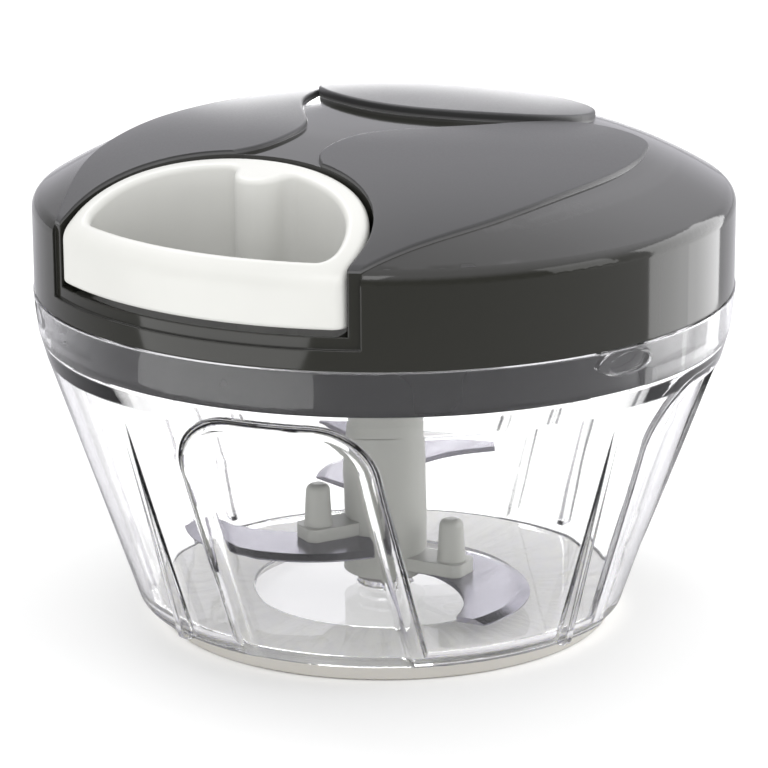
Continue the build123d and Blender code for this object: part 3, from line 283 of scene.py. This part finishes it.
def spread(tree, value, start, end, low=0.0, high=1.0, curve="LINEAR"):
    """Turns a value that runs from start to end into one that runs from low to high."""
    step = tree.nodes.new("ShaderNodeMapRange")
    step.interpolation_type = curve
    bounds = (("From Min", start), ("From Max", end), ("To Min", low), ("To Max", high))
    for name, bound in (("Value", value), *bounds):
        feed(tree, step.inputs[name], bound)
    return step.outputs[0]


def fade(tree, value, places, colours):
    """One colour up to the first place and another from the second, with an even change between."""
    ramp = tree.nodes.new("ShaderNodeValToRGB")
    for stop, place, colour in zip(ramp.color_ramp.elements, places, colours):
        stop.position = place
        stop.color = opaque(colour)
    tree.links.new(value, ramp.inputs["Fac"])
    return ramp.outputs["Color"]


# Backdrop and floor

def mirrored(tree):
    """One for what is seen in a gloss, and a share of it for a ray that runs on in the clear walls."""
    once = calculate(tree, "MINIMUM", ray(tree, "Glossy Depth"), 1.0)
    early = calculate(tree, "LESS_THAN", ray(tree, "Transmission Depth"), PASSES_TO_A_PIECE_INSIDE)
    in_wall = calculate(tree, "MULTIPLY", early, ray(tree, "Is Transmission Ray"))
    share = calculate(tree, "MULTIPLY_ADD", in_wall, WALL_GLOSS_SHARE - 1, 1.0)
    return calculate(tree, "MULTIPLY", once, share)


def first_look(tree):
    """One for what is seen straight or through clear plastic, and not in a gloss."""
    seen = calculate(tree, "MAXIMUM", ray(tree, "Is Camera Ray"), ray(tree, "Is Transmission Ray"))
    return calculate(tree, "SUBTRACT", seen, mirrored(tree), clamp=True)


def toward_back(tree, place):
    """How far a place or a direction lies toward the light back of the studio."""
    return calculate_vector(tree, "DOT_PRODUCT", "Value", place, offset_from_object(STUDIO_BACK, 0, 1.0))


def add_world():
    """White backdrop. A gloss sees the studio instead."""
    world = bpy.data.worlds.new("studio")
    bpy.context.scene.world = world
    world.use_nodes = True
    tree = world.node_tree
    direction = coordinates(tree, "Generated")
    turn = toward_back(tree, direction)
    back = spread(tree, turn, GLOSS_START, 1.0, FRONT_GLOSS, BACK_GLOSS, "SMOOTHSTEP")
    height = height_of(tree, direction)
    overhead = spread(tree, height, OVERHEAD_START, OVERHEAD_FULL, 0.0, OVERHEAD_GLOSS, "SMOOTHSTEP")
    studio = calculate(tree, "ADD", back, overhead)
    light = mix(tree, mirrored(tree), WORLD_LIGHT, studio)
    feed_all(tree, tree.nodes["Background"], {
        "Color": mix(tree, mirrored(tree), opaque(WHITE), opaque(GLOSS_COLOUR), "RGBA"),
        "Strength": mix(tree, first_look(tree), light, BACKGROUND_WHITE),
    })


def add_floor():
    """White floor that keeps the object's shadow. In a gloss it is greyer, most of all in front."""
    for thing in bpy.context.selected_objects:
        thing.select_set(False)
    bpy.ops.mesh.primitive_plane_add(size=FLOOR_SIZE, location=(0, 0, 0))
    floor = bpy.context.object
    floor.name = "studio_floor"
    material, tree, shader = new_material("floor_white")
    back = toward_back(tree, coordinates(tree, "Object"))
    grey = spread(tree, back, -FLOOR_FALL, FLOOR_FALL, FLOOR_FRONT, FLOOR_BACK)
    glow = mix(tree, ray(tree, "Is Transmission Ray"), FLOOR_GLOW, FLOOR_GLOW_UNDER_BOWL)
    feed_all(tree, shader, {
        "Base Color": mix(tree, mirrored(tree), opaque(FLOOR_COLOUR), grey, "RGBA"),
        "Roughness": FLOOR_ROUGHNESS,
        "Specular IOR Level": 0.0,
        "Emission Color": opaque(WHITE),
        "Emission Strength": calculate(tree, "MULTIPLY", glow, first_look(tree)),
    })
    floor.data.materials.append(material)


# Materials

def noise(tree, pattern):
    """A pattern on the piece's own coordinates."""
    mapping = tree.nodes.new("ShaderNodeMapping")
    mapping.inputs["Scale"].default_value = pattern.stretch
    tree.links.new(coordinates(tree, "Object"), mapping.inputs["Vector"])
    cloud = tree.nodes.new("ShaderNodeTexNoise")
    cloud.inputs["Scale"].default_value = pattern.waves
    cloud.inputs["Detail"].default_value = pattern.detail
    tree.links.new(mapping.outputs["Vector"], cloud.inputs["Vector"])
    return cloud.outputs["Fac"]


def drifting_colour(tree, pattern, colour, drift):
    """Colour that goes a little darker and lighter with a pattern."""
    darker = [channel * (1 - drift) for channel in colour]
    lighter = [channel * (1 + drift) for channel in colour]
    return fade(tree, pattern, DRIFT_SHARES, (darker, lighter))


def steady_normal(tree):
    """The smooth normal, or the facet's own where the two part."""
    shape = tree.nodes.new("ShaderNodeNewGeometry")
    smooth = shape.outputs["Normal"]
    facet = shape.outputs["True Normal"]
    agreement = calculate_vector(tree, "DOT_PRODUCT", "Value", smooth, facet)
    strays = calculate(tree, "LESS_THAN", agreement, SMOOTH_LIMIT)
    return mix(tree, strays, smooth, facet, "VECTOR")


def relief(tree, pattern, depth, edge_round=0.0):
    """Fine relief, over edges that catch the light as moulded edges do."""
    surface = steady_normal(tree)
    if edge_round:
        edge = tree.nodes.new("ShaderNodeBevel")
        edge.samples = EDGE_SAMPLES
        edge.inputs["Radius"].default_value = edge_round
        tree.links.new(surface, edge.inputs["Normal"])
        surface = edge.outputs["Normal"]
    bump = tree.nodes.new("ShaderNodeBump")
    feed_all(tree, bump, {"Distance": depth, "Height": pattern, "Normal": surface})
    return bump.outputs["Normal"]


def moulded_plastic(moulding):
    material, tree, shader = new_material(moulding.name)
    cloud = noise(tree, BROAD_CLOUD)
    smoothest = moulding.rough - moulding.rough_drift
    roughest = moulding.rough + moulding.rough_drift
    feed_all(tree, shader, {
        "Base Color": drifting_colour(tree, cloud, moulding.colour, MOULDING_COLOUR_DRIFT),
        "Roughness": spread(tree, cloud, 0.0, 1.0, smoothest, roughest),
        "Normal": relief(tree, noise(tree, GRAIN), moulding.grain_depth, moulding.edge_round),
        "IOR": PLASTIC_IOR,
    })
    return material


def leaf_masks(tree):
    """One on the leaves with their soft edges, and one on their faces: both stand over the cubic dome."""
    place = coordinates(tree, "Object")
    flat = calculate_vector(tree, "MULTIPLY", "Vector", place, (1 / LID_RADIUS, 1 / LID_RADIUS, 0))
    radius = calculate_vector(tree, "LENGTH", "Value", flat)
    drop = calculate(tree, "POWER", radius, DOME_POWER)
    above = calculate(tree, "MULTIPLY_ADD", drop, DOME_RISE, height_of(tree, place))
    masks = []
    for low_share, high_share in (LEAF_EDGE_SHARES, LEAF_FACE_SHARES):
        start = LID_APEX + LEAF_STEP * low_share
        end = LID_APEX + LEAF_STEP * high_share
        masks.append(spread(tree, above, start, end))
    return masks


def lid_plastic():
    """High gloss all over, with the three leaves spark-eroded to a satin face. The step at each leaf's edge
    is painted a lighter grey, a painted highlight.
    """
    material, tree, shader = new_material("lid_two_finishes_painted_edge_highlight")
    grain = noise(tree, LID_GRAIN)
    leaf, leaf_face = leaf_masks(tree)
    gloss = spread(tree, noise(tree, BROAD_CLOUD), 0.0, 1.0, *LID_ROUGHNESS)
    satin = spread(tree, grain, 0.0, 1.0, *LEAF_ROUGHNESS)
    # Painted highlight: the step at each leaf's edge is painted a lighter grey than the dome and the leaf
    # face
    dome_and_painted_edge_highlight = mix(tree, leaf, opaque(LID_GREY), opaque(LEAF_EDGE_PAINTED_HIGHLIGHT), "RGBA")
    feed_all(tree, shader, {
        "Base Color": mix(tree, leaf_face, dome_and_painted_edge_highlight, opaque(LEAF_GREY), "RGBA"),
        "Roughness": mix(tree, leaf, gloss, satin),
        "Normal": relief(tree, grain, LID_GRAIN_DEPTH, LID_EDGE_ROUND),
        "IOR": PLASTIC_IOR,
    })
    return material


def rolled_steel(metal):
    """Sheet steel with fine lines along one way."""
    material, tree, shader = new_material(metal.name)
    lines = noise(tree, ROLLING_LINES)
    smoothest, roughest = [metal.rough * share for share in STEEL_ROUGH_SHARES]
    feed_all(tree, shader, {
        "Base Color": drifting_colour(tree, lines, metal.colour, STEEL_COLOUR_DRIFT),
        "Roughness": spread(tree, lines, 0.0, 1.0, smoothest, roughest),
        "Normal": relief(tree, lines, STEEL_LINE_DEPTH),
        "Metallic": 1.0,
    })
    return material


def clear_plastic():
    """Clear moulded plastic. Shadows and soft light pass straight through it to what stands in the bowl."""
    material, tree, shader = new_material("clear_bowl_plastic")
    feed_all(tree, shader, {
        "Base Color": opaque(WHITE),
        "Transmission Weight": 1.0,
        "IOR": PLASTIC_IOR,
        "Roughness": 0.0,
        "Normal": relief(tree, noise(tree, MOULD_FLOW), BOWL_FLOW_DEPTH, BOWL_EDGE_ROUND),
    })
    through = tree.nodes.new("ShaderNodeBsdfTransparent")
    through.inputs["Color"].default_value = opaque(BOWL_TINT)
    mixed = tree.nodes.new("ShaderNodeMixShader")
    soft = calculate(tree, "MAXIMUM", ray(tree, "Is Shadow Ray"), ray(tree, "Is Diffuse Ray"))
    for socket, value in zip(mixed.inputs, (soft, shader.outputs["BSDF"], through.outputs["BSDF"])):
        tree.links.new(value, socket)
    tree.links.new(mixed.outputs["Shader"], tree.nodes["Material Output"].inputs["Surface"])
    return material


def ring_plastic():
    """Milky soft plastic with painted light: its top face is painted pale and its side greyer, by the way
    each face turns.
    """
    material, tree, shader = new_material("ring_plastic")
    # Painted light: faces that turn up get the pale top colour and faces that turn aside the greyer side
    # colour, with a little random cloud
    upward = height_of(tree, coordinates(tree, "Normal"))
    top_light_and_cloud = calculate(tree, "MULTIPLY_ADD", noise(tree, RING_CLOUD), RING_CLOUD_SHARE, upward)
    feed_all(tree, shader, {
        "Base Color": fade(tree, top_light_and_cloud, RING_SIDE_TO_TOP_SHARES, (RING_SIDE, RING_TOP_PAINTED_LIGHT)),
        "Subsurface Weight": RING_MILKINESS,
        "Subsurface Radius": RING_LIGHT_REACH,
        "Roughness": RING_ROUGHNESS,
        "Normal": relief(tree, noise(tree, RING_GRAIN), RING_GRAIN_DEPTH),
        "IOR": PLASTIC_IOR,
    })
    return material


def braided_cord():
    material, tree, shader = new_material("braided_cord")
    wave = tree.nodes.new("ShaderNodeTexWave")
    wave.inputs["Scale"].default_value = BRAID_WAVES
    wave.inputs["Distortion"].default_value = BRAID_DISTORTION
    tree.links.new(coordinates(tree, "Object"), wave.inputs["Vector"])
    braid = wave.outputs["Fac"]
    feed_all(tree, shader, {
        "Base Color": drifting_colour(tree, braid, CORD_WHITE, BRAID_COLOUR_DRIFT),
        "Normal": relief(tree, braid, BRAID_DEPTH),
        "Roughness": BRAID_ROUGHNESS,
        "Sheen Weight": BRAID_SHEEN,
    })
    return material


def paint_all():
    """Gives each CAD node its finish, and returns the finish of the cord."""
    lid = lid_plastic()
    skirt = moulded_plastic(SKIRT_SATIN)
    grip = moulded_plastic(GRIP_SATIN)
    shaft = moulded_plastic(SHAFT_SATIN)
    reel = moulded_plastic(REEL_PLASTIC)
    seal = moulded_plastic(SEAL_RUBBER)
    blade = rolled_steel(BLADE_STEEL)
    screw = rolled_steel(SCREW_STEEL)
    spring = rolled_steel(SPRING_STEEL)
    cord = braided_cord()
    finishes = {
        "bowl": clear_plastic(),
        "base_ring": ring_plastic(),
        "rim_gasket": seal,
        "lid_cover": lid,
        "mechanism_cover": skirt,
        "cover_screws": screw,
        "cord_guide": screw,
        "pull_handle": grip,
        "cord_stop": screw,
        "pull_cord": cord,
        "cord_winding": cord,
        "cord_reel": reel,
        "reel_cap": reel,
        "return_spring": spring,
        "reel_washer": screw,
        "reel_screw": screw,
        "pawl_a": reel,
        "pawl_b": reel,
        "pawl_pins": screw,
        "drive_hub": shaft,
        "hub_clip": spring,
        "blade_shaft": shaft,
        "blade_low": blade,
        "blade_mid": blade,
        "blade_top": blade,
    }
    for name, material in finishes.items():
        slots = nodes[name].data.materials
        slots.clear()
        slots.append(material)
    return cord


# Cord

def cord_mesh():
    """A round cord along its route, with closed ends."""
    curve = bpy.data.curves.new("cord_line", "CURVE")
    curve.dimensions = "3D"
    curve.bevel_depth = CORD_RADIUS
    curve.bevel_resolution = CORD_SIDE_STEPS
    curve.resolution_u = CORD_LENGTH_STEPS
    curve.use_fill_caps = True
    route = curve.splines.new("NURBS")
    places = [
        (*DRUM_LEAVE, CORD_HEIGHT),
        (0, EYELET_Y, CORD_HEIGHT),
        (0, EYELET_FACE_Y, CORD_HEIGHT),
        (0, FERRULE_Y, CORD_HEIGHT),
    ]
    route.points.add(len(places) - 1)
    for point, place in zip(route.points, places):
        point.co = (*place, 1)
    route.order_u = CORD_CURVE_ORDER
    route.use_endpoint_u = True
    line = bpy.data.objects.new("cord_line", curve)
    bpy.context.scene.collection.objects.link(line)
    bpy.context.view_layer.update()
    mesh = bpy.data.meshes.new_from_object(line)
    bpy.data.objects.remove(line)
    for face in mesh.polygons:
        face.use_smooth = True
    return mesh


def stretching_cord(material):
    """The cord from the drum to the ferrule, in place of the pull cord. On the real chopper its last
    stretch draws out of the eyelet with the grip.
    """
    mesh = cord_mesh()
    mesh.materials.clear()
    mesh.materials.append(material)
    cord = bpy.data.objects.new("cord_stretch", mesh)
    bpy.context.scene.collection.objects.link(cord)
    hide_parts("pull_cord")
    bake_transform(cord)


add_camera()
add_lamps()
add_world()
add_floor()
stretching_cord(paint_all())
bpy.context.scene.view_settings.view_transform = "Standard"
